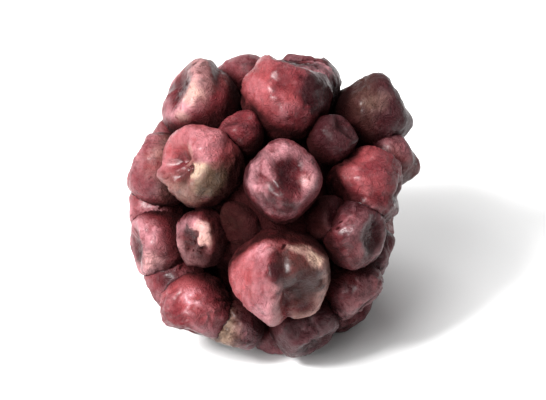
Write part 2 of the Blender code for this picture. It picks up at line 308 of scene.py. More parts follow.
# Dent: how it is skewed, the broken lip round it, with place and width in widths of the dent, how steep its
# sides are, and the pit in its middle
SKEW_SCALE = 1.5
DENT_SKEW = 0.25
LIP_PLACE = 1.25
LIP_WIDTH = 0.32
LIP_HEIGHTS = (0.025, 0.065)
LIP_GAP_SCALE = 1.7
LIP_LEVEL = 0.65
LIP_CHANGE = 1.1
DISH_POWER = 4
PIT_WIDTH = 0.24
PIT_DEPTHS = (0.00, 0.09)

# Folds: the height on a drupelet over which they fade in, and the limits of the one on each hidden drupelet
FOLD_FADE = (-0.1, 0.5)
HIDDEN_FOLD_LOWEST = -0.2
HIDDEN_FOLD_OFFSETS = (0.0, 0.4)
HIDDEN_FOLD_HEIGHTS = (-0.09, 0.10)
HIDDEN_FOLD_WIDTHS = (0.10, 0.18)

# Skin over one drupelet: patches of ripeness, painted shade that darkens the dents and the underside near the
# floor, frost on the lip and less in the dent, the side that browns, and the ragged edges of the stated
# patches, each as a scale and a share
TONE_SCALE = 1.7
TONE_CHANGE = 0.20
DENT_SHADE = 0.12
FLOOR_SHADE = 0.22
FROST_LEVEL = 0.5
LIP_FROST = 0.9
DENT_FROST_LOSS = 0.7
BROWNED_SIDE = (0.35, -0.35)
RAGGED_EDGES = ((4.0, 0.5), (9.0, 0.35))
PATCH_FADE = (1.5, 0.5)

# Relief of level skin and pith, and the height in radii that changes the skin's by one
LEVEL_RELIEF = 0.5
RELIEF_RANGE = 0.14

# Painted shade: the depths under the fruit's outer form over which it darkens the skin, and the heights over
# the floor over which it darkens the skin towards purple-black
CREVICE_SHADE_DEPTHS = (1.7 * MM, 3.4 * MM)
FLOOR_SHADE_HEIGHTS = (5.0 * MM, 1.0 * MM)

# Neighbours add painted shade to a drupelet's skin when they stand closer than this many times both radii
# together, and no further than this behind the skin's side
NEIGHBOUR_REACH = 1.6
NEIGHBOUR_LEAN = 0.1

# Edges that turn inward by more than this angle, at this depth or deeper, are seams between fused drupelets,
# and get painted shade in full
SEAM_ANGLE = math.radians(45.0)
SEAM_DEPTH = 1.6 * MM

# Skin of the hidden drupelets, drawn between these limits in the order of FACING_SKINS
HIDDEN_SKINS = ((0.04, 0.56), (0.0, 0.35), (0.0, 360.0), (0.10, 0.75), (0.0, 0.50))

# Fineness of the drupelets' mesh
ICOSPHERE_SUBDIVISIONS = 2
FACING_CUTS = 8
HIDDEN_CUTS = 6
SMALL_CUTS = 5
SMALL_RADIUS = 1.45 * MM
CORE_SUBDIVISIONS = 4
SHARP_ANGLE = math.radians(55.0)

# Core: its swells, each as a scale and a height, and the ripeness of its skin
CORE_SWELLS = ((6.0, 0.15 * MM), (15.0, 0.35 * MM))
CORE_RIPENESS = 0.3

# Receptacle and its pocket: turned shapes, by distance from the axis and height over the seat, in millimetres
RECEPTACLE_PROFILE = (
    (0.0, 3.35),
    (0.55, 3.45),
    (1.0, 3.95),
    (1.45, 4.0),
    (1.8, 3.6),
    (2.0, 2.9),
    (1.85, 1.5),
    (1.4, 0.35),
    (0.0, 0.0),
)
POCKET_PROFILE = (
    (0.0, 6.0),
    (3.0, 6.0),
    (2.4, 2.9),
    (1.75, -0.35),
    (0.0, -0.7),
)
RECEPTACLE_SEAT = 2.4 * MM

# Steps round the axis and rings in each stretch of a turned shape, and how close its points are merged
RECEPTACLE_FINENESS = (128, 9)
POCKET_FINENESS = (48, 3)
MERGE_DISTANCE = 0.001 * MM

# Side of the pith: fibres and strands, each by its spread round the axis and its length, their share in the
# relief beside a fine roughness, and the distances from the axis over which it starts
FIBRES = (3.2, 3.0 * MM)
STRANDS = (7.0, 1.6 * MM)
STRAND_LEVEL = 0.5
STRAND_SHARE = 0.9
ROUGH_SCALE = 1800.0
ROUGH_SHARE = 0.35
SIDE_DISTANCES = (0.2 * MM, 1.2 * MM)

# The pith is also a little lopsided, after noise on a ring round its axis, at this scale and level
LOPSIDED_SCALE = 1.6
LOPSIDED_LEVEL = 0.3
LOPSIDED_HEIGHT = 0.16 * MM

# Torn end of the pith: the heights over which it starts, its bent folds, the tears on them, each as a scale
# and a share, and the heights over which the foot turns darker red-brown
TORN_HEIGHTS = (2.6 * MM, 3.5 * MM)
END_FOLD_SCALE = 620.0
END_BEND_SCALE = 500.0
END_BEND = 0.6
TEARS = ((1500.0, 0.5), (3600.0, 0.25))
TORN_LEVEL = 0.85
SIDE_RELIEF = 0.4
DARKER_FOOT_HEIGHTS = (2.6 * MM, 0.4 * MM)

# Furrows between round folds: how fast they rise and how round they are
FURROW_GAIN = 2.4
FURROW_POWER = 0.7

# Fine wrinkles: the middle of the noise, how sharp its crests are, and how much finer the pores are
NOISE_MIDDLE = 0.5
CREST_SHARPNESS = 5.0
PORE_FINENESS = 3.0

# Skin: the ranges of tone, relief, crevice and frost over which it changes, with the range that they are
# moved to where it isn't 0 to 1, and the share of each effect
BLOTCH_TONE = 0.24
MAROON_TONES = (0.05, 0.5)
RED_TONES = (0.4, 0.95)
# Painted shade darkens the sunk parts of the relief over this range, by this share
SUNK_SHADE_RELIEF = (0.35, -0.25)
SUNK_SHADE_SHARE = 0.55
RAISED_SKIN = (0.25, 0.80)
OPEN_CREVICE = (0.60, 0.10)
# Painted shade fills the crevices over the closed range, more in some patches than others by the shares after
# it
CLOSED_CREVICE = (0.15, 0.85)
CREVICE_SHADE_SHARES = (0.0, 1.0, 0.72, 1.0)
BLEACHED_GAIN = 1.4
FROST_SHARE = 0.95
SPECK_SHARE = 0.18
FROSTED_ROUGHNESS = (0.0, 0.7, 0.30, 0.50)
CREVICE_ROUGHNESS = 0.45

# Pith: its stretch along the fibres, the ranges over which it changes, and the share of each effect
FIBRE_STRETCH = (1.0, 0.22, 1.0)
STREAK_SHARE = 0.6
STAIN_SHARE = 0.35
SUNK_PITH = (0.75, 0.15)
DEEPEST_PITH = (0.35, 0.0)
DEEPEST_SHARE = 0.7
STREAKED_ROUGHNESS = (0.0, 1.0, 0.72, 0.90)

# Sockets of Blender's Mix node for colours, which has others of the same names
MIX_FACTOR = 0
MIX_FIRST = 6
MIX_SECOND = 7
MIX_RESULT = 2

# Lights, by place and width; their powers are settings
KEY_LIGHT = ((-0.240, -0.186, 0.290), 0.10)
SOFT_LIGHT = ((-0.240, -0.226, 0.270), 0.36)
TOP_LIGHT = ((-0.06, 0.12, 0.42), 0.28)

# Floor: sides of its edge, and how bright its darker clouds are
FLOOR_SIDES = 96
CLOUD_BRIGHTNESS = 0.985

# The picture has the photograph's 546 by 400, and the fruit with its margin fills this share of its height
PICTURE_WIDTH = 546.0
PICTURE_HEIGHT = 400.0
PICTURE_FILL = 0.76
PICTURE_MARGIN = 1.08
SENSOR_WIDTH = 36.0
CLIP_START = 0.01

# What the settings that are colours have in common
COLOUR = {"subtype": "COLOR", "min": 0.0, "max": 1.0}


class BrambleSkinSettings(bpy.types.PropertyGroup):
    """Sizes and colours of the dried skin."""

    swell_height: bpy.props.FloatProperty(
        name="Swell Height", description="Height of the broad swells on a drupelet, in its radii",
        default=0.04, min=0.0, max=0.3)
    dimple_height: bpy.props.FloatProperty(
        name="Dimple Height", description="Height of the ridges between the skin's large dimples, in radii",
        default=0.052, min=0.0, max=0.2)
    cell_height: bpy.props.FloatProperty(
        name="Cell Height", description="Height of the small cells over the creases between them, in radii",
        default=0.030, min=0.0, max=0.1)
    # The dark skin is also the colour of the painted shade in sunk parts, dents and the underside
    dark_colour: bpy.props.FloatVectorProperty(
        name="Dark Skin", description="Purple-black of the ripest skin",
        default=(0.027, 0.0042, 0.006), **COLOUR)
    maroon_colour: bpy.props.FloatVectorProperty(
        name="Maroon Skin", description="Colour of most of the skin", default=(0.105, 0.012, 0.016), **COLOUR)
    # Red is also where the painted light on the lit side of the facing drupelets takes the skin
    red_colour: bpy.props.FloatVectorProperty(
        name="Red Skin", description="Red of the least ripe skin", default=(0.23, 0.040, 0.044), **COLOUR)
    brown_colour: bpy.props.FloatVectorProperty(
        name="Browned Skin", description="Olive brown of browned patches",
        default=(0.060, 0.034, 0.020), **COLOUR)
    # The frost colour is also the colour of the painted highlights on the lit upper left of the facing
    # drupelets
    frost_and_highlight_colour: bpy.props.FloatVectorProperty(
        name="Frost", description="Dry pale bloom on ridges and rims", default=(0.43, 0.190, 0.213), **COLOUR)
    bleached_colour: bpy.props.FloatVectorProperty(
        name="Bleached Skin", description="Warm pale colour of the bloom on browned skin",
        default=(0.50, 0.34, 0.25), **COLOUR)
    # Painted shade: the near-black red that the skin takes where it is shut in between the drupelets
    crevice_shade_colour: bpy.props.FloatVectorProperty(
        name="Crevice", description="Dark dried juice between the drupelets",
        default=(0.013, 0.0006, 0.0006), **COLOUR)
    glaze: bpy.props.FloatProperty(
        name="Glaze", description="How much of a glossy coat dried juice leaves on parts of the skin",
        default=0.45, min=0.0, max=1.0)


class BramblePithSettings(bpy.types.PropertyGroup):
    """Sizes and colours of the receptacle's pith."""

    fibre_height: bpy.props.FloatProperty(
        name="Fibre Height", description="Height of the fibres along the pith", subtype="DISTANCE",
        default=0.10 * MM, min=0.0, max=0.3 * MM)
    fold_depth: bpy.props.FloatProperty(
        name="Fold Depth", description="Depth of the folds on the pith's torn end", subtype="DISTANCE",
        default=0.34 * MM, min=0.0, max=1.0 * MM)
    pale_colour: bpy.props.FloatVectorProperty(
        name="Pale Pith", description="Cream of the dry pith", default=(0.84, 0.62, 0.28), **COLOUR)
    tan_colour: bpy.props.FloatVectorProperty(
        name="Tan Pith", description="Tan orange of its stained fibres", default=(0.50, 0.21, 0.07), **COLOUR)
    # Red-brown of the pith's stains in patches, of its deepest folds and of its darker foot
    red_brown_pith_colour: bpy.props.FloatVectorProperty(
        name="Juice Stain", description="Red-brown where juice has dried on the pith",
        default=(0.20, 0.045, 0.030), **COLOUR)


class BrambleStageSettings(bpy.types.PropertyGroup):
    """Floor, lights and camera."""

    elevation: bpy.props.FloatProperty(
        name="Camera Elevation", description="Angle of the view above the floor", subtype="ANGLE",
        default=FACING_LEAN, min=0.0, max=math.pi / 2.0)
    camera_distance: bpy.props.FloatProperty(
        name="Camera Distance", description="From the camera to the middle of the fruit", subtype="DISTANCE",
        default=0.30, min=0.05, max=2.0)
    floor_radius: bpy.props.FloatProperty(
        name="Floor Radius", description="Radius of the pale floor", subtype="DISTANCE",
        default=1.5, min=0.1, max=10.0)
    floor_colour: bpy.props.FloatVectorProperty(
        name="Floor", description="Colour of the pale floor", default=(0.80, 0.80, 0.80), **COLOUR)
    key_power: bpy.props.FloatProperty(
        name="Key Light", description="Power of the clear light from the upper left", subtype="POWER",
        default=2.7, min=0.0, max=100.0)
    soft_power: bpy.props.FloatProperty(
        name="Soft Light", description="Power of the broad light from the same side", subtype="POWER",
        default=2.35, min=0.0, max=100.0)
    top_power: bpy.props.FloatProperty(
        name="Top Light", description="Power of the broad light from above", subtype="POWER",
        default=1.1, min=0.0, max=100.0)
    sky_strength: bpy.props.FloatProperty(
        name="Surroundings", description="Brightness of the white surroundings",
        default=0.36, min=0.0, max=5.0)


def smooth_step(low, high, value):
    """0 below the low value, 1 above the high one, and smooth between."""
    share = max(0.0, min(1.0, (value - low) / (high - low)))
    return share * share * (3.0 - 2.0 * share)


def smooth_minimum(first, second, softness):
    """The smaller of two values, rounded where they meet."""
    share = max(0.0, min(1.0, 0.5 + 0.5 * (second - first) / softness))
    return second * (1.0 - share) + first * share - softness * share * (1.0 - share)


def furrowed(place):
    """Noise with round folds and sharp furrows between them, from 0 in a furrow to 1."""
    return min(1.0, abs(noise.noise(place)) * FURROW_GAIN) ** FURROW_POWER


def creased(place, width):
    """Round cells with sharp creases between them, from 0 in a crease to 1."""
    distances = noise.voronoi(place)[0]
    return smooth_step(0.0, width, distances[1] - distances[0]) ** CREASE_POWER


def dimpled(place, width):
    """Shallow dimples between narrow ridges, from 0 in a dimple to 1 on a ridge."""
    distances = noise.voronoi(place)[0]
    return (1.0 - smooth_step(0.0, width, distances[1] - distances[0])) ** DIMPLE_POWER


def facing_direction(degrees):
    """Direction in the facing plane at an angle from the right."""
    turn = math.radians(degrees)
    return FACING_RIGHT * math.cos(turn) + FACING_UP * math.sin(turn)


def fruit_centre():
    """The fruit's centre, from where the receptacle sits in the frame."""
    low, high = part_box("receptacle")
    middle = (low + high) / 2.0
    return Vector((middle.x, low.y - RECEPTACLE_SEAT, middle.z))


CENTRE = fruit_centre()
PLUG_FOOT = CENTRE + Vector((0.0, RECEPTACLE_SEAT, 0.0))


def seat(direction, depth):
    """Point at a depth under the fruit's outer form, along a direction from its centre."""
    width = (RIGHT_HALF_WIDTH if direction.x > 0.0 else HALF_WIDTH) - depth
    height = HALF_HEIGHT - depth
    length = (STEM_LENGTH if direction.y > 0.0 else APEX_LENGTH) - depth
    power = STEM_BLUNTNESS if direction.y > 0.0 else APEX_BLUNTNESS
    side = math.hypot(direction.x / width, direction.z / height)
    reach = (side ** power + abs(direction.y / length) ** power) ** (-1.0 / power)
    return direction * reach


def facing_drupelets():
    """Listed drupelets of the facing side, as centre, radius, dent depth and dent place."""
    drupelets = []
    for across, up, ahead, radius, dent, dent_across, dent_up in FACING_DRUPELETS:
        centre = (FACING_RIGHT * across + FACING_UP * up + FACING_AHEAD * ahead) * MM
        drupelets.append((centre, radius * MM, dent, dent_across, dent_up))
    return drupelets


def foot_drupelets():
    """Low drupelets, level with each other, that the fruit rests on."""
    drupelets = []
    for across, back, radius in FOOT_DRUPELETS:
        height = radius * MM - FOOT_FLAT_DEPTH - CENTRE.z
        drupelets.append((Vector((across * MM, back * MM, height)), radius * MM, FOOT_DENT, 0.0, 0.0))
    return drupelets


def ring_drupelets():
    """Drupelets round the hollow at the stem end."""
    drupelets = []
    for index in range(RING_COUNT):
        turn = 2.0 * math.pi * (index + 0.5) / RING_COUNT
        across = RING_DISTANCE * math.cos(turn)
        up = RING_DISTANCE * math.sin(turn)
        side = math.hypot(across / (HALF_WIDTH - RING_RADIUS), up / (HALF_HEIGHT - RING_RADIUS))
        back = (STEM_LENGTH - RING_RADIUS) * (1.0 - side ** STEM_BLUNTNESS) ** (1.0 / STEM_BLUNTNESS)
        drupelets.append((Vector((across, back, up)), RING_RADIUS, None, 0.0, 0.0))
    return drupelets


def even_directions(count):
    """Unit vectors spread evenly over a sphere along a golden-angle spiral."""
    golden_angle = math.pi * (3.0 - math.sqrt(5.0))
    directions = []
    for index in range(count):
        height = 1.0 - 2.0 * (index + 0.5) / count
        radius = math.sqrt(1.0 - height * height)
        turn = golden_angle * index
        directions.append(Vector((radius * math.cos(turn), radius * math.sin(turn), height)))
    return directions


def nestled_seat(placed, radius, depth, directions):
    """Centre that a drupelet of this radius takes closest to those already placed, or None."""
    best_gap = math.inf
    best_centre = None
    for direction in directions:
        centre = seat(direction, radius + depth)
        in_hollow = centre.y > 0.0 and math.hypot(centre.x, centre.z) < RING_DISTANCE
        if in_hollow or centre.dot(FACING_AHEAD) > FILL_LIMIT:
            continue
        gap = min((centre - other[0]).length - FILL_PITCH * (radius + other[1]) for other in placed)
        if 0.0 <= gap < best_gap:
            best_gap = gap
            best_centre = centre
    return best_centre


def fill_drupelets(placed):
    """Nestle drupelets of random size, one by one, against those already placed until none fits."""
    draw = random.Random(FILL_SEED)
    directions = even_directions(FILL_DIRECTIONS)
    placed = list(placed)
    added = []
    for radii, depth in FILL_ROUNDS:
        while True:
            radius = draw.uniform(*radii)
            centre = nestled_seat(placed, radius, depth, directions)
            if centre is None:
                break
            drupelet = (centre, radius, None, 0.0, 0.0)
            placed.append(drupelet)
            added.append(drupelet)
    return added


def outward_frame(centre):
    """Rotation whose +Z points out of the fruit at a drupelet, with +Y as near upright as it can be."""
    outward = Vector((centre.x / HALF_WIDTH ** 2, centre.y / APEX_LENGTH ** 2, centre.z / HALF_HEIGHT ** 2))
    outward.normalize()
    across = DRUPELET_UPRIGHT.cross(outward)
    across.normalize()
    upright = outward.cross(across)
    return Matrix((across, upright, outward)).transposed()


def draw_form(draw, dent, dent_across, dent_up):
    """Random form of one drupelet; a dent that is listed keeps its depth and place."""
    turn = draw.uniform(0.0, 2.0 * math.pi)
    offset = draw.uniform(0.0, DENT_OFFSET)
    depth = draw.uniform(*DENT_DEPTHS)
    form = {
        "stretch": 1.0 + draw.uniform(-STRETCH, STRETCH),
        "rise": draw.uniform(*RISE),
        "dent_width": draw.uniform(*DENT_WIDTHS),
        "lobes": draw.choice(LOBE_COUNTS),
        "lobe_height": draw.uniform(*LOBE_HEIGHTS),
        "lobe_turn": draw.uniform(0.0, 2.0 * math.pi),
    }
    if dent is None:
        dent_across = offset * math.cos(turn)
        dent_up = offset * math.sin(turn)
        dent = depth
    form["dent"] = dent
    form["dent_axis"] = Vector((dent_across, dent_up, 1.0)).normalized()
    return form


def random_direction(draw, lowest=-1.0):
    """Unit vector at random, no lower than a share of +Z."""
    height = draw.uniform(lowest, 1.0)
    turn = draw.uniform(0.0, 2.0 * math.pi)
    side = math.sqrt(1.0 - height * height)
    return Vector((side * math.cos(turn), side * math.sin(turn), height))


def draw_fine_form(draw, form):
    """Add the fine form of dried skin to a drupelet's form."""
    form["shift"] = Vector([draw.uniform(-NOISE_SPREAD, NOISE_SPREAD) for _ in range(3)])
    form["flats"] = []
    for _ in range(draw.randint(*FLAT_SPOTS)):
        form["flats"].append((random_direction(draw, FLAT_LOWEST), draw.uniform(*FLAT_DISTANCES)))
    form["grain"] = random_direction(draw)
    form["crumple"] = draw.uniform(*CRUMPLE_SHARES)
    form["lip"] = draw.uniform(*LIP_HEIGHTS)
    form["pit"] = draw.uniform(*PIT_DEPTHS)
    form["hidden_fold"] = (
        random_direction(draw, HIDDEN_FOLD_LOWEST),
        draw.uniform(*HIDDEN_FOLD_OFFSETS),
        draw.uniform(*HIDDEN_FOLD_HEIGHTS),
        draw.uniform(*HIDDEN_FOLD_WIDTHS),
    )
    return form


def folds_of(index, rotation, form):
    """Folds of one drupelet in its own frame: those listed, or a random one on a hidden drupelet."""
    if index >= len(FACING_DRUPELETS):
        return [form["hidden_fold"]]
    inward = rotation.transposed()
    folds = []
    for place, degrees, offset, height, width in FACING_FOLDS:
        if place == index:
            folds.append((inward @ facing_direction(degrees), offset, height, width))
    return folds


def patches_of(index, rotation):
    """Patches of one drupelet in its own frame: axis, size, and what they add to its skin."""
    inward = rotation.transposed()
    patches = []
    for place, across, up, size, ripeness_and_light, frost_and_highlight, browning in FACING_PATCHES:
        if place == index:
            ahead = math.sqrt(max(0.0, 1.0 - across * across - up * up))
            axis = inward @ (FACING_RIGHT * across + FACING_UP * up + FACING_AHEAD * ahead)
            patches.append((axis.normalized(), size, (ripeness_and_light, frost_and_highlight, browning)))
    return patches


def skin_of(index, rotation, draw):
    """Ripeness, strength and axis of the redder side, frost and browning of one drupelet; on the facing side
    the redder side, and the frost of the left edge, are painted light.
    """
    drawn = [draw.uniform(*limits) for limits in HIDDEN_SKINS]
    if index < len(FACING_SKINS):
        ripeness_and_light, blush_and_painted_light, degrees, frost_and_highlight, browning = FACING_SKINS[index]
        axis = rotation.transposed() @ facing_direction(degrees)
    else:
        ripeness_and_light, blush_and_painted_light, degrees, frost_and_highlight, browning = drawn
        turn = math.radians(degrees)
        axis = Vector((math.cos(turn), math.sin(turn), 0.0))
    return {"ripeness_and_light": ripeness_and_light, "blush_and_painted_light": blush_and_painted_light, "axis": axis, "frost_and_highlight": frost_and_highlight, "browning": browning}


def angle_between(first, second):
    """Angle between two unit vectors."""
    return math.acos(max(-1.0, min(1.0, first.dot(second))))


def base_reach(direction, form):
    """Reach of a drupelet's dented form, in radii, along a unit direction whose +Z is outward."""
    dent_angle = angle_between(direction, form["dent_axis"])
    dent = math.exp(-((dent_angle / form["dent_width"]) ** 2))
    rim = math.exp(-(((dent_angle / form["dent_width"] - RIM_PLACE) / RIM_WIDTH) ** 2))
    turn = math.atan2(direction.y, direction.x)
    side = 1.0 - direction.z ** 2
    lobe = side * math.cos(form["lobes"] * turn + form["lobe_turn"])
    return 1.0 + form["dent"] * (RIM_HEIGHT * rim - dent) + form["lobe_height"] * lobe


def flattened(reach, direction, form):
    """Reach after the skin has gone flat in spots."""
    for axis, distance in form["flats"]:
        along = direction.dot(axis)
        if along > FLAT_SIDE:
            reach = smooth_minimum(reach, distance / along, FLAT_SOFTNESS)
    return reach


def fold_height(direction, folds):
    """Height of the folds on the outward side of a drupelet."""
    height = 0.0
    for axis, offset, rise, width in folds:
        distance = (direction.dot(axis) - offset) / width
        height += rise * math.exp(-distance * distance)
    return height * smooth_step(*FOLD_FADE, direction.z)


def crater_height(direction, form):
    """How far a point is on the lip round the dent and inside it, and the height that both add."""
    place = direction + form["shift"]
    skewed = (direction + noise.noise_vector(place * SKEW_SCALE) * DENT_SKEW).normalized()
    dent_angle = angle_between(skewed, form["dent_axis"])
    share = dent_angle / form["dent_width"]
    lip = math.exp(-(((share - LIP_PLACE) / LIP_WIDTH) ** 2))
    lip *= max(0.0, LIP_LEVEL + LIP_CHANGE * noise.noise(place * LIP_GAP_SCALE))
    inside = math.exp(-(share ** DISH_POWER))
    dish = form["dent"] * (math.exp(-share * share) - inside)
    pit = math.exp(-((dent_angle / PIT_WIDTH) ** 2))
    return lip, inside, form["lip"] * lip + dish - form["pit"] * pit


def crumple_height(direction, form, settings):
    """Height of the dried skin's folds: broad swells, large dimples drawn out, and small cells."""
    place = direction + form["shift"]
    warped = place + noise.noise_vector(place * WARP_SCALE) * FOLD_WARP
    drawn_out = warped - form["grain"] * (FOLD_STRETCH * warped.dot(form["grain"]))
    calm = smooth_step(*CALM_RANGE, noise.noise(place * CALM_SCALE))
    dimples = dimpled(drawn_out * DIMPLE_SCALE, DIMPLE_WIDTH) - DIMPLE_LEVEL
    cells = creased(warped * CELL_SCALE, CREASE_WIDTH) - CELL_LEVEL
    cells += GRIT_SHARE * noise.noise(place * GRIT_SCALE)
    height = settings.swell_height * noise.noise(warped * SWELL_SCALE)
    height += calm * settings.dimple_height * dimples
    height += (CALM_LEAST + (1.0 - CALM_LEAST) * calm) * settings.cell_height * cells
    return form["crumple"] * height


def skin_depth(point):
    """How deep a point lies under the fruit's outer form."""
    return seat(point.normalized(), 0.0).length - point.length


def crevice_shade_amount(point, outward, neighbours):
    """How much painted shade a point of the skin gets: deep under the outer form, or close to other drupelets.
    """
    shade = smooth_step(*CREVICE_SHADE_DEPTHS, skin_depth(point))
    for centre, radius in neighbours:
        across = centre - point
        distance = across.length
        facing = max(0.0, outward.dot(across) / distance + NEIGHBOUR_LEAN)
        shade += facing * min(1.0, radius / distance) ** 2
    return min(1.0, shade)


def add_layers(bm):
    """Point layers that the skin's material reads."""
    names = ("ripeness_and_light", "frost_and_highlight", "browning", "relief", "crevice")
    return {name: bm.verts.layers.float.new(name) for name in names}


def new_object(name, bm):
    """An object with a finished shape as its mesh."""
    mesh = bpy.data.meshes.new(name)
    bm.to_mesh(mesh)
    bm.free()
    return bpy.data.objects.new(name, mesh)


def neighbours_of(drupelet, drupelets):
    """Centres and radii of the drupelets that stand close to one of them."""
    centre, radius = drupelet[:2]
    return [
        other[:2] for other in drupelets
        if 0.0 < (other[0] - centre).length < NEIGHBOUR_REACH * (radius + other[1])
    ]


def skin_values(direction, lip, inside, height, form, skin, patches):
    """Ripeness, frost and browning of the skin at one point of a drupelet, which carry painted light and shade.
    """
    patch = noise.noise(direction * TONE_SCALE + form["shift"])
    # On the facing side the redder side lies where the light falls: painted light
    toward_red = direction.dot(skin["axis"])
    # Painted shade: the dent and the underside near the floor are made darker
    ripeness_and_light = skin["ripeness_and_light"] + skin["blush_and_painted_light"] * toward_red + TONE_CHANGE * patch - DENT_SHADE * inside
    ripeness_and_light -= FLOOR_SHADE * smooth_step(*FLOOR_SHADE_HEIGHTS, height)
    frost_and_highlight = skin["frost_and_highlight"] * (FROST_LEVEL + LIP_FROST * lip) * (1.0 - DENT_FROST_LOSS * inside)
    browning = skin["browning"] * smooth_step(*BROWNED_SIDE, toward_red)
    ragged = sum(share * noise.noise(direction * scale + form["shift"]) for scale, share in RAGGED_EDGES)
    for axis, size, (ripeness_and_light_change, frost_and_highlight_change, browner) in patches:
        share = smooth_step(*PATCH_FADE, angle_between(direction, axis) / size + ragged)
        ripeness_and_light += ripeness_and_light_change * share
        frost_and_highlight += frost_and_highlight_change * share
        browning += browner * share
    return {"ripeness_and_light": ripeness_and_light, "frost_and_highlight": frost_and_highlight, "browning": browning}


def drupelet_cuts(index, radius):
    """How finely the edges of a drupelet's ball are cut."""
    if radius < SMALL_RADIUS:
        return SMALL_CUTS
    return FACING_CUTS if index < len(FACING_DRUPELETS) else HIDDEN_CUTS


def fine_drupelet(index, drupelet, form, skin, neighbours, settings):
    """One finely wrinkled drupelet, with its skin's values on its points."""
    centre, radius = drupelet[:2]
    rotation = outward_frame(centre)
    folds = folds_of(index, rotation, form)
    patches = patches_of(index, rotation)
    bm = bmesh.new()
    bmesh.ops.create_icosphere(bm, subdivisions=ICOSPHERE_SUBDIVISIONS, radius=1.0)
    bmesh.ops.subdivide_edges(bm, edges=bm.edges[:], cuts=drupelet_cuts(index, radius), use_grid_fill=True)
    layers = add_layers(bm)
    for vertex in bm.verts:
        direction = vertex.co.normalized()
        reach = flattened(base_reach(direction, form), direction, form)
        folded = fold_height(direction, folds)
        lip, inside, cratered = crater_height(direction, form)
        crumpled = crumple_height(direction, form, settings)
        point = direction * (reach + folded + cratered + crumpled)
        point = Vector((point.x * form["stretch"], point.y / form["stretch"], point.z * form["rise"]))
        local = centre + rotation @ (point * radius * FINE_SHRINK)
        vertex.co = CENTRE + local
        vertex.co.z = max(0.0, vertex.co.z)
        values = skin_values(direction, lip, inside, vertex.co.z, form, skin, patches)
        values["relief"] = LEVEL_RELIEF + (crumpled + cratered + folded) / RELIEF_RANGE
        values["crevice"] = crevice_shade_amount(local, rotation @ direction, neighbours)
        for layer, value in values.items():
            vertex[layers[layer]] = value
    return new_object(f"drupelet_{index:02d}", bm)


def fine_core():
    """The core between the drupelets, rough, and painted in full shade."""
    bm = bmesh.new()
    bmesh.ops.create_icosphere(bm, subdivisions=CORE_SUBDIVISIONS, radius=1.0)
    layers = add_layers(bm)
    for vertex in bm.verts:
        direction = vertex.co.normalized()
        swell = sum(height * noise.noise(direction * scale) for scale, height in CORE_SWELLS)
        vertex.co = CENTRE + seat(direction, CORE_DEPTH) + direction * swell
        vertex[layers["ripeness_and_light"]] = CORE_RIPENESS
        # Full painted shade all over the core
        vertex[layers["crevice"]] = 1.0
    return new_object("wrinkled_drupelets", bm)


def turned_shape(profile, steps, rings):
    """A closed shape turned round the stem axis, with each stretch of its profile cut into short rings."""
    bm = bmesh.new()
    verts = [bm.verts.new((distance * MM, height * MM, 0.0)) for distance, height in profile]
    edges = [bm.edges.new(pair) for pair in zip(verts, verts[1:])]
    bmesh.ops.subdivide_edges(bm, edges=edges, cuts=rings)
    bmesh.ops.spin(bm, geom=bm.verts[:] + bm.edges[:], axis=(0.0, 1.0, 0.0), cent=(0.0, 0.0, 0.0),
                   angle=2.0 * math.pi, steps=steps, use_merge=True)
    bmesh.ops.remove_doubles(bm, verts=bm.verts[:], dist=MERGE_DISTANCE)
    bmesh.ops.recalc_face_normals(bm, faces=bm.faces[:])
    bmesh.ops.translate(bm, verts=bm.verts[:], vec=PLUG_FOOT)
    return bm


def drawn_along(turn, height, spread, length):
    """Place in noise that is drawn out along the stem axis."""
    return Vector((spread * math.cos(turn), height / length, spread * math.sin(turn)))


def side_relief(place, turn):
    """Relief of the pith's side: fibres, strands and a fine roughness."""
    fibres = noise.noise(drawn_along(turn, place.y, *FIBRES))
    strands = furrowed(drawn_along(turn, place.y, *STRANDS))
    rough = noise.noise(place * ROUGH_SCALE)
    return STRAND_SHARE * fibres + STRAND_SHARE * (strands - STRAND_LEVEL) + ROUGH_SHARE * rough


def fine_plug(settings):
    """The plug of pith, with fibres along its side and folds on its torn end."""
    bm = turned_shape(RECEPTACLE_PROFILE, *RECEPTACLE_FINENESS)
    layers = add_layers(bm)
    for vertex in bm.verts:
        place = vertex.co - PLUG_FOOT
        turn = math.atan2(place.z, place.x)
        outward = Vector((math.cos(turn), 0.0, math.sin(turn)))
        share = smooth_step(*SIDE_DISTANCES, math.hypot(place.x, place.z))
        top = smooth_step(*TORN_HEIGHTS, place.y)
        relief = side_relief(place, turn)
        folds = furrowed(place * END_FOLD_SCALE + noise.noise_vector(place * END_BEND_SCALE) * END_BEND)
        torn = folds + sum(depth * noise.noise(place * scale) for scale, depth in TEARS)
        lopsided = noise.noise(Vector((math.cos(turn), math.sin(turn), LOPSIDED_LEVEL)) * LOPSIDED_SCALE)
        vertex.co += outward * (share * settings.fibre_height * relief)
        vertex.co += outward * (share * LOPSIDED_HEIGHT * lopsided)
        vertex.co.y += top * settings.fold_depth * (torn - TORN_LEVEL)
        vertex[layers["relief"]] = (1.0 - top) * (LEVEL_RELIEF + SIDE_RELIEF * relief) + top * folds
        # Darker red-brown towards the foot
        vertex[layers["crevice"]] = smooth_step(*DARKER_FOOT_HEIGHTS, place.y)
    return new_object("pith_plug", bm)


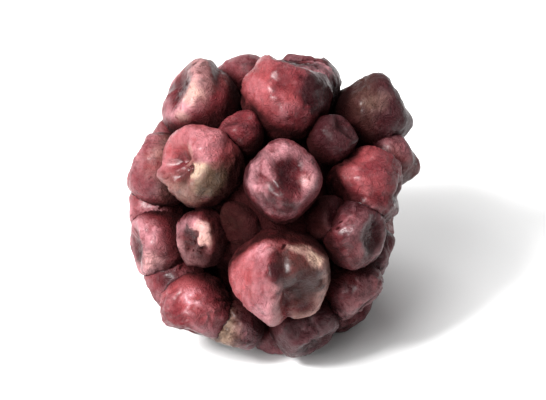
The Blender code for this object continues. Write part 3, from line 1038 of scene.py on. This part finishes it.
def apply_boolean(item, operation, cutter=None, collection=None):
    """Join or cut with one Boolean and keep its result as the object's mesh."""
    boolean = item.modifiers.new("boolean", "BOOLEAN")
    boolean.operation = operation
    boolean.solver = "MANIFOLD"
    if collection is None:
        boolean.object = cutter
    else:
        boolean.operand_type = "COLLECTION"
        boolean.collection = collection
    evaluated = item.evaluated_get(bpy.context.evaluated_depsgraph_get())
    mesh = bpy.data.meshes.new_from_object(evaluated)
    item.modifiers.clear()
    item.data = mesh
    helpers = [cutter] if collection is None else list(collection.objects)
    for helper in helpers:
        bpy.data.objects.remove(helper, do_unlink=True)
    if collection is not None:
        bpy.data.collections.remove(collection)


def keep_outer_shell(mesh):
    """Drop sealed hollows and loose scraps: keep the largest shell."""
    bm = bmesh.new()
    bm.from_mesh(mesh)
    unseen = set(bm.faces)
    shells = []
    while unseen:
        shell = [unseen.pop()]
        for face in shell:
            for edge in face.edges:
                for neighbour in edge.link_faces:
                    if neighbour in unseen:
                        unseen.discard(neighbour)
                        shell.append(neighbour)
        shells.append(shell)
    shells.sort(key=len)
    for shell in shells[:-1]:
        bmesh.ops.delete(bm, geom=shell, context="FACES")
    bmesh.ops.triangulate(bm, faces=[face for face in bm.faces if len(face.verts) > 3])
    bm.to_mesh(mesh)
    bm.free()


def turns_inward(vertex):
    """Whether an edge at a vertex turns inward as sharply as a seam does."""
    return min(edge.calc_face_angle_signed(0.0) for edge in vertex.link_edges) < -SEAM_ANGLE


def paint_seam_shade(mesh):
    """Paint shade into the skin along the seams between fused drupelets, in full, and wherever it lies deep."""
    bm = bmesh.new()
    bm.from_mesh(mesh)
    crevice = bm.verts.layers.float["crevice"]
    for vertex in bm.verts:
        depth = skin_depth(vertex.co - CENTRE)
        shade = smooth_step(*CREVICE_SHADE_DEPTHS, depth)
        if depth > SEAM_DEPTH and turns_inward(vertex):
            shade = 1.0
        vertex[crevice] = max(vertex[crevice], shade)
    bm.to_mesh(mesh)
    bm.free()


def add_node(tree, kind, inputs=None, **settings):
    """A node with its settings, and its inputs set to values or linked to sockets."""
    node = tree.nodes.new(kind)
    for name, value in settings.items():
        setattr(node, name, value)
    for name, value in (inputs or {}).items():
        if isinstance(value, bpy.types.NodeSocket):
            tree.links.new(value, node.inputs[name])
        else:
            node.inputs[name].default_value = value
    return node


def maths(tree, operation, first, second=0.0, clamp=False):
    """Result of one Math node."""
    node = add_node(tree, "ShaderNodeMath", {0: first, 1: second}, operation=operation, use_clamp=clamp)
    return node.outputs["Value"]


def product(tree, first, second, clamp=False):
    """Two values multiplied."""
    return maths(tree, "MULTIPLY", first, second, clamp)


def mapped(tree, value, from_low, from_high, to_low=0.0, to_high=1.0):
    """A value moved smoothly from one range to another and kept inside it."""
    inputs = {
        "Value": value, "From Min": from_low, "From Max": from_high, "To Min": to_low, "To Max": to_high,
    }
    node = add_node(tree, "ShaderNodeMapRange", inputs, interpolation_type="SMOOTHSTEP")
    return node.outputs["Result"]


def opaque(colour):
    """A colour with its alpha, or the socket that gives it."""
    return colour if isinstance(colour, bpy.types.NodeSocket) else (*colour, 1.0)


def mixed(tree, factor, first, second):
    """Two colours mixed by a mask."""
    inputs = {MIX_FACTOR: factor, MIX_FIRST: opaque(first), MIX_SECOND: opaque(second)}
    return add_node(tree, "ShaderNodeMix", inputs, data_type="RGBA").outputs[MIX_RESULT]


def attribute(tree, name):
    """Value of a point attribute."""
    return add_node(tree, "ShaderNodeAttribute", attribute_name=name).outputs["Fac"]


def stretched(tree, place, scale):
    """A place scaled along each axis."""
    return add_node(tree, "ShaderNodeMapping", {"Vector": place, "Scale": scale}).outputs["Vector"]


def in_millimetres(tree):
    """Object coordinates in millimetres."""
    place = add_node(tree, "ShaderNodeTexCoord").outputs["Object"]
    return stretched(tree, place, (1.0 / MM, 1.0 / MM, 1.0 / MM))


def new_group(name, sockets, output):
    """An empty shader node group with named inputs and one output."""
    tree = bpy.data.node_groups.new(name, "ShaderNodeTree")
    for socket_name, kind, default in sockets:
        socket = tree.interface.new_socket(name=socket_name, in_out="INPUT", socket_type=kind)
        if default is not None:
            socket.default_value = default
    tree.interface.new_socket(name=output, in_out="OUTPUT", socket_type="NodeSocketFloat")
    return tree, tree.nodes.new("NodeGroupInput").outputs, tree.nodes.new("NodeGroupOutput").inputs


def patches_group():
    """Soft-edged patches: a mask of blotches, stains or specks."""
    sockets = (
        ("Vector", "NodeSocketVector", None),
        ("Scale", "NodeSocketFloat", 1.0),
        ("Cover", "NodeSocketFloat", 0.5),
        ("Softness", "NodeSocketFloat", 0.1),
    )
    tree, given, result = new_group("dry_patches", sockets, "Mask")
    cloud = add_node(tree, "ShaderNodeTexNoise", {
        "Vector": given["Vector"],
        "Scale": given["Scale"],
        "Detail": 4.0,
        "Roughness": 0.6,
        "Distortion": 0.4,
    })
    middle = maths(tree, "SUBTRACT", 1.0, given["Cover"])
    low = maths(tree, "SUBTRACT", middle, given["Softness"])
    high = maths(tree, "ADD", middle, given["Softness"])
    tree.links.new(mapped(tree, cloud.outputs["Fac"], low, high), result["Mask"])
    return tree


def wrinkles_group():
    """Fine dry wrinkles: the height of crests and pores too small to model."""
    sockets = (
        ("Vector", "NodeSocketVector", None),
        ("Scale", "NodeSocketFloat", 3.0),
        ("Pores", "NodeSocketFloat", 0.3),
    )
    tree, given, result = new_group("dry_wrinkles", sockets, "Height")
    crests = add_node(tree, "ShaderNodeTexNoise", {
        "Vector": given["Vector"],
        "Scale": given["Scale"],
        "Detail": 5.0,
        "Roughness": 0.62,
        "Distortion": 0.9,
    })
    folded = maths(tree, "ABSOLUTE", maths(tree, "SUBTRACT", crests.outputs["Fac"], NOISE_MIDDLE))
    sharp = product(tree, folded, CREST_SHARPNESS, clamp=True)
    pore_scale = product(tree, given["Scale"], PORE_FINENESS)
    pores = add_node(tree, "ShaderNodeTexVoronoi", {"Vector": given["Vector"], "Scale": pore_scale})
    deep = product(tree, pores.outputs["Distance"], given["Pores"])
    tree.links.new(maths(tree, "ADD", sharp, deep), result["Height"])
    return tree


def shared_group(name, build):
    """A node group that more than one material uses, built once."""
    return bpy.data.node_groups.get(name) or build()


def patch_mask(tree, place, scale, cover, softness):
    """Mask of soft-edged patches."""
    inputs = {"Vector": place, "Scale": scale, "Cover": cover, "Softness": softness}
    group = shared_group("dry_patches", patches_group)
    return add_node(tree, "ShaderNodeGroup", inputs, node_tree=group).outputs["Mask"]


def wrinkle_height(tree, place, scale, pores):
    """Height of fine dry wrinkles."""
    inputs = {"Vector": place, "Scale": scale, "Pores": pores}
    group = shared_group("dry_wrinkles", wrinkles_group)
    return add_node(tree, "ShaderNodeGroup", inputs, node_tree=group).outputs["Height"]


def new_material(name, constants):
    """A material with a Principled shader whose plain values are set on its sockets."""
    material = bpy.data.materials.new(name)
    material.use_nodes = True
    shader = material.node_tree.nodes["Principled BSDF"]
    for socket, value in constants.items():
        shader.inputs[socket].default_value = value
    return material, material.node_tree, shader


def set_bump(tree, shader, height, strength, distance):
    """Feed a height to the shader's normal."""
    bump = add_node(tree, "ShaderNodeBump", {"Height": height, "Strength": strength, "Distance": distance})
    tree.links.new(bump.outputs["Normal"], shader.inputs["Normal"])


def skin_material(settings):
    """Dried skin: purple-black to red, browned and frosted, with painted shade in the crevices and sunk
    creases, and painted light and highlights carried in its ripeness and frost.
    """
    material, tree, shader = new_material("dried_skin", {
        "Specular IOR Level": 0.13,
        "Specular Tint": (1.0, 0.66, 0.68, 1.0),
        "Coat Roughness": 0.30,
        "Coat IOR": 1.45,
    })
    place = in_millimetres(tree)
    relief = attribute(tree, "relief")
    crevice = attribute(tree, "crevice")
    browning = attribute(tree, "browning")
    open_air = mapped(tree, crevice, *OPEN_CREVICE)
    closed = mapped(tree, crevice, *CLOSED_CREVICE)

    blotches = patch_mask(tree, place, scale=0.55, cover=0.5, softness=0.16)
    tone = maths(tree, "ADD", attribute(tree, "ripeness_and_light"), product(tree, blotches, BLOTCH_TONE))
    tone = maths(tree, "SUBTRACT", tone, BLOTCH_TONE / 2.0)
    colour = mixed(tree, mapped(tree, tone, *MAROON_TONES), settings.dark_colour, settings.maroon_colour)
    colour = mixed(tree, mapped(tree, tone, *RED_TONES), colour, settings.red_colour)
    spots = patch_mask(tree, place, scale=0.8, cover=0.62, softness=0.12)
    colour = mixed(tree, product(tree, spots, browning, clamp=True), colour, settings.brown_colour)
    # Painted shade in the sunk parts of the relief
    sunk_shade = mapped(tree, relief, *SUNK_SHADE_RELIEF)
    colour = mixed(tree, product(tree, sunk_shade, SUNK_SHADE_SHARE), colour, settings.dark_colour)

    dust = patch_mask(tree, place, scale=2.0, cover=0.60, softness=0.15)
    # Frost: dry bloom on raised skin, with the painted highlights that the facing skin and its patches add to
    # it
    frost_and_highlight = product(tree, product(tree, mapped(tree, relief, *RAISED_SKIN), dust), attribute(tree, "frost_and_highlight"))
    frost_and_highlight = product(tree, frost_and_highlight, open_air, clamp=True)
    bleached = product(tree, browning, BLEACHED_GAIN, clamp=True)
    bloom_and_highlight = mixed(tree, bleached, settings.frost_and_highlight_colour, settings.bleached_colour)
    colour = mixed(tree, product(tree, frost_and_highlight, FROST_SHARE), colour, bloom_and_highlight)
    specks = patch_mask(tree, place, scale=6.5, cover=0.30, softness=0.05)
    colour = mixed(tree, product(tree, specks, SPECK_SHARE), colour, settings.dark_colour)

    # Painted shade: the crevices turn near-black red, more in some patches than others
    crevice_shade_patches = patch_mask(tree, place, scale=1.6, cover=0.6, softness=0.25)
    painted_crevice_shade = product(tree, closed, mapped(tree, crevice_shade_patches, *CREVICE_SHADE_SHARES))
    colour = mixed(tree, painted_crevice_shade, colour, settings.crevice_shade_colour)
    tree.links.new(colour, shader.inputs["Base Color"])

    dull = mapped(tree, frost_and_highlight, *FROSTED_ROUGHNESS)
    roughness = maths(tree, "ADD", dull, product(tree, closed, CREVICE_ROUGHNESS))
    tree.links.new(roughness, shader.inputs["Roughness"])
    glazed = patch_mask(tree, place, scale=1.1, cover=0.50, softness=0.10)
    glaze = product(tree, product(tree, glazed, open_air), settings.glaze)
    tree.links.new(glaze, shader.inputs["Coat Weight"])
    height = wrinkle_height(tree, place, scale=2.2, pores=0.15)
    set_bump(tree, shader, height, strength=1.0, distance=0.08 * MM)
    return material


def pith_material(settings):
    """Dry pith: cream, tan in its fibres, red-brown in stains in patches and darker red-brown towards its foot.
    """
    material, tree, shader = new_material("dry_pith", {
        "Subsurface Weight": 0.10,
        "Subsurface Radius": (1.0, 0.6, 0.3),
        "Subsurface Scale": 0.5 * MM,
        "Sheen Weight": 0.15,
        "Specular IOR Level": 0.3,
    })
    place = in_millimetres(tree)
    along = stretched(tree, place, FIBRE_STRETCH)
    relief = attribute(tree, "relief")

    streaks = patch_mask(tree, along, scale=2.4, cover=0.5, softness=0.14)
    colour = mixed(tree, product(tree, streaks, STREAK_SHARE), settings.pale_colour, settings.tan_colour)
    colour = mixed(tree, mapped(tree, relief, *SUNK_PITH), colour, settings.tan_colour)
    deepest = product(tree, mapped(tree, relief, *DEEPEST_PITH), DEEPEST_SHARE)
    colour = mixed(tree, deepest, colour, settings.red_brown_pith_colour)
    stains = patch_mask(tree, place, scale=0.9, cover=0.45, softness=0.15)
    stain_and_darker_foot = maths(tree, "ADD", product(tree, stains, STAIN_SHARE), attribute(tree, "crevice"), clamp=True)
    colour = mixed(tree, stain_and_darker_foot, colour, settings.red_brown_pith_colour)
    tree.links.new(colour, shader.inputs["Base Color"])

    tree.links.new(mapped(tree, streaks, *STREAKED_ROUGHNESS), shader.inputs["Roughness"])
    height = wrinkle_height(tree, along, scale=5.0, pores=0.5)
    set_bump(tree, shader, height, strength=0.5, distance=0.06 * MM)
    return material


def floor_material(colour):
    """Pale matt floor with a faint unevenness."""
    material, tree, shader = new_material("pale_floor", {"Specular IOR Level": 0.1, "Roughness": 0.9})
    clouds = patch_mask(tree, in_millimetres(tree), scale=0.02, cover=0.5, softness=0.3)
    darker = [value * CLOUD_BRIGHTNESS for value in colour]
    tree.links.new(mixed(tree, clouds, colour, darker), shader.inputs["Base Color"])
    return material


def finish_piece(item, material, node):
    """Give a piece its material, its place in the frame and the node that it stands for."""
    item.data.materials.clear()
    item.data.materials.append(material)
    item.data.shade_smooth()
    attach(item, BODY)
    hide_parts(node)


class BRAMBLE_OT_add_drupelets(bpy.types.Operator):
    """Add the dark head of wrinkled drupelets, fused on its core"""

    bl_idname = "bramble.add_drupelets"
    bl_label = "Add Drupelets"

    def execute(self, context):
        settings = context.scene.bramble_skin
        drupelets = facing_drupelets() + foot_drupelets() + ring_drupelets()
        drupelets += fill_drupelets(drupelets)
        noise.seed_set(NOISE_SEED)
        form_draw = random.Random(FORM_SEED)
        looks_draw = random.Random(LOOKS_SEED)
        repeats = bpy.data.collections.new("drupelets")
        context.scene.collection.children.link(repeats)
        for index, drupelet in enumerate(drupelets):
            form = draw_fine_form(looks_draw, draw_form(form_draw, *drupelet[2:]))
            skin = skin_of(index, outward_frame(drupelet[0]), looks_draw)
            neighbours = neighbours_of(drupelet, drupelets)
            repeats.objects.link(fine_drupelet(index, drupelet, form, skin, neighbours, settings))
        head = fine_core()
        pocket = new_object("pocket", turned_shape(POCKET_PROFILE, *POCKET_FINENESS))
        for item in (head, pocket):
            context.scene.collection.objects.link(item)
        apply_boolean(head, "DIFFERENCE", cutter=pocket)
        apply_boolean(head, "UNION", collection=repeats)
        keep_outer_shell(head.data)
        paint_seam_shade(head.data)
        finish_piece(head, skin_material(settings), "drupelet_head")
        head.data.set_sharp_from_angle(angle=SHARP_ANGLE)
        return {"FINISHED"}


class BRAMBLE_OT_add_receptacle(bpy.types.Operator):
    """Add the pale plug of pith in the hollow at the stem end"""

    bl_idname = "bramble.add_receptacle"
    bl_label = "Add Receptacle"

    def execute(self, context):
        settings = context.scene.bramble_pith
        noise.seed_set(NOISE_SEED)
        plug = fine_plug(settings)
        context.scene.collection.objects.link(plug)
        finish_piece(plug, pith_material(settings), "receptacle")
        return {"FINISHED"}


class BRAMBLE_OT_add_stage(bpy.types.Operator):
    """Add the pale floor, the soft studio light and the camera"""

    bl_idname = "bramble.add_stage"
    bl_label = "Add Stage"

    def execute(self, context):
        settings = context.scene.bramble_stage
        low, high = cad_box
        middle = (Vector(low) + Vector(high)) / 2.0
        add_floor(context, settings)
        add_light(context, "key_light", KEY_LIGHT, settings.key_power, middle)
        add_light(context, "soft_light", SOFT_LIGHT, settings.soft_power, middle)
        add_light(context, "top_light", TOP_LIGHT, settings.top_power, middle)
        add_surroundings(context, settings.sky_strength)
        add_camera(context, settings, middle)
        context.scene.view_settings.view_transform = "Standard"
        return {"FINISHED"}


def add_floor(context, settings):
    """A wide round floor at the height that the fruit rests on."""
    bm = bmesh.new()
    bmesh.ops.create_circle(bm, cap_ends=True, segments=FLOOR_SIDES, radius=settings.floor_radius)
    floor = new_object("floor", bm)
    context.scene.collection.objects.link(floor)
    floor.data.materials.append(floor_material(settings.floor_colour))


def add_light(context, name, measures, power, target):
    """A soft square light that faces the fruit."""
    place, width = measures
    light = bpy.data.lights.new(name, "AREA")
    light.size = width
    light.energy = power
    lamp = bpy.data.objects.new(name, light)
    lamp.location = place
    lamp.rotation_euler = (target - Vector(place)).to_track_quat("-Z", "Y").to_euler()
    context.scene.collection.objects.link(lamp)


def add_surroundings(context, strength):
    """Even white light from all round."""
    world = bpy.data.worlds.new("white_surroundings")
    world.use_nodes = True
    background = world.node_tree.nodes["Background"]
    background.inputs["Color"].default_value = (1.0, 1.0, 1.0, 1.0)
    background.inputs["Strength"].default_value = strength
    context.scene.world = world


def add_camera(context, settings, middle):
    """A camera at the photograph's viewing angle, with the fruit at the given share of the picture."""
    camera = bpy.data.cameras.new("camera")
    rig = bpy.data.objects.new("camera", camera)
    away = Vector((0.0, -math.cos(settings.elevation), math.sin(settings.elevation)))
    rig.location = middle + away * settings.camera_distance
    rig.rotation_euler = (-away).to_track_quat("-Z", "Y").to_euler()
    seen_height = 2.0 * HALF_HEIGHT / PICTURE_FILL * PICTURE_MARGIN
    seen_width = seen_height * PICTURE_WIDTH / PICTURE_HEIGHT
    camera.sensor_width = SENSOR_WIDTH
    camera.lens = camera.sensor_width * settings.camera_distance / seen_width
    camera.clip_start = CLIP_START
    context.scene.collection.objects.link(rig)
    context.scene.camera = rig


class BRAMBLE_PT_panel(bpy.types.Panel):
    """Sidebar panel with the fruit's pieces and their settings"""

    bl_label = "Bramble Fruit"
    bl_space_type = "VIEW_3D"
    bl_region_type = "UI"
    bl_category = "Bramble Fruit"

    def draw(self, context):
        layout = self.layout
        for operator, settings in PIECES:
            box = layout.box()
            box.operator(operator)
            group = getattr(context.scene, settings)
            for name in group.__annotations__:
                box.prop(group, name)


PIECES = (
    ("bramble.add_drupelets", "bramble_skin"),
    ("bramble.add_receptacle", "bramble_pith"),
    ("bramble.add_stage", "bramble_stage"),
)

CLASSES = (
    BrambleSkinSettings,
    BramblePithSettings,
    BrambleStageSettings,
    BRAMBLE_OT_add_drupelets,
    BRAMBLE_OT_add_receptacle,
    BRAMBLE_OT_add_stage,
    BRAMBLE_PT_panel,
)


def register():
    """Make the settings, operators and panel known to Blender."""
    for item in CLASSES:
        bpy.utils.register_class(item)
    bpy.types.Scene.bramble_skin = bpy.props.PointerProperty(type=BrambleSkinSettings)
    bpy.types.Scene.bramble_pith = bpy.props.PointerProperty(type=BramblePithSettings)
    bpy.types.Scene.bramble_stage = bpy.props.PointerProperty(type=BrambleStageSettings)


def unregister():
    """Take them out again."""
    del bpy.types.Scene.bramble_stage
    del bpy.types.Scene.bramble_pith
    del bpy.types.Scene.bramble_skin
    for item in reversed(CLASSES):
        bpy.utils.unregister_class(item)


def main():
    """Build every piece and the stage."""
    register()
    bpy.ops.bramble.add_drupelets()
    bpy.ops.bramble.add_receptacle()
    bpy.ops.bramble.add_stage()


if __name__ == "__main__":
    main()
